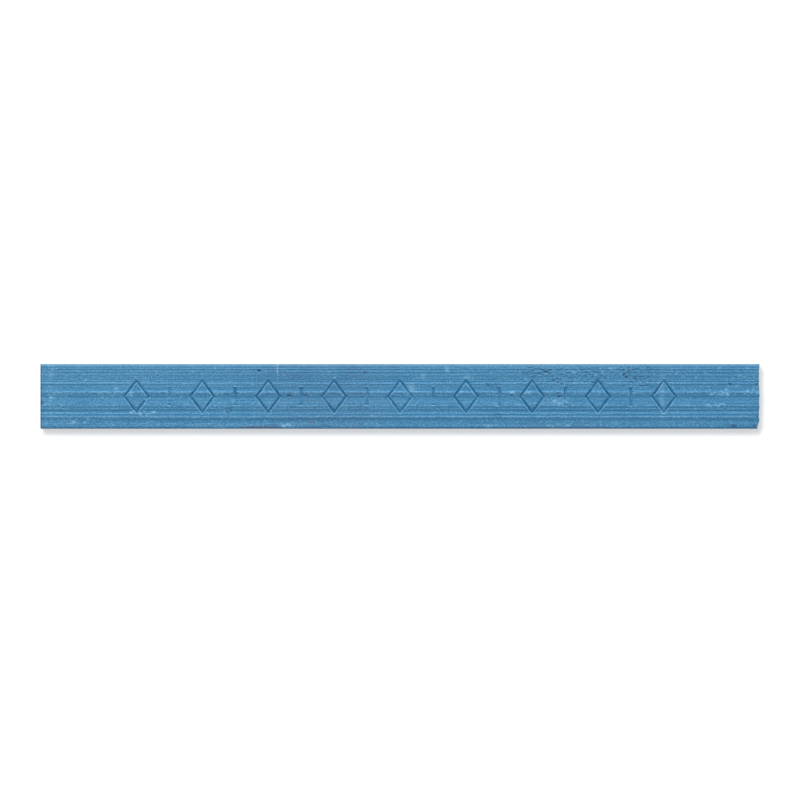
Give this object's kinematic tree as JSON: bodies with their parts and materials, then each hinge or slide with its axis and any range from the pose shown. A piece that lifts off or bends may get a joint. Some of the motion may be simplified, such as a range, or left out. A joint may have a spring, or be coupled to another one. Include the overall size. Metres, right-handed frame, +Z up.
{
  "type": "pastel stick",
  "caption": "Square stick of hard pastel with die lines along its faces, a stamped row on one face, a cut end and a rough end.",
  "frame": {"origin": "middle of the stick, on the surface that it lies on", "axes": "+X along the stick from the cut end to the rough end, +Y across it towards the rear, +Z up through the stamped face"},
  "size_m": [0.072, 0.0066, 0.0065],
  "materials": {
    "pastel": "matte"
  },
  "bodies": {
    "root": {"pastel_stick": "pastel"}
  },
  "joints": []
}
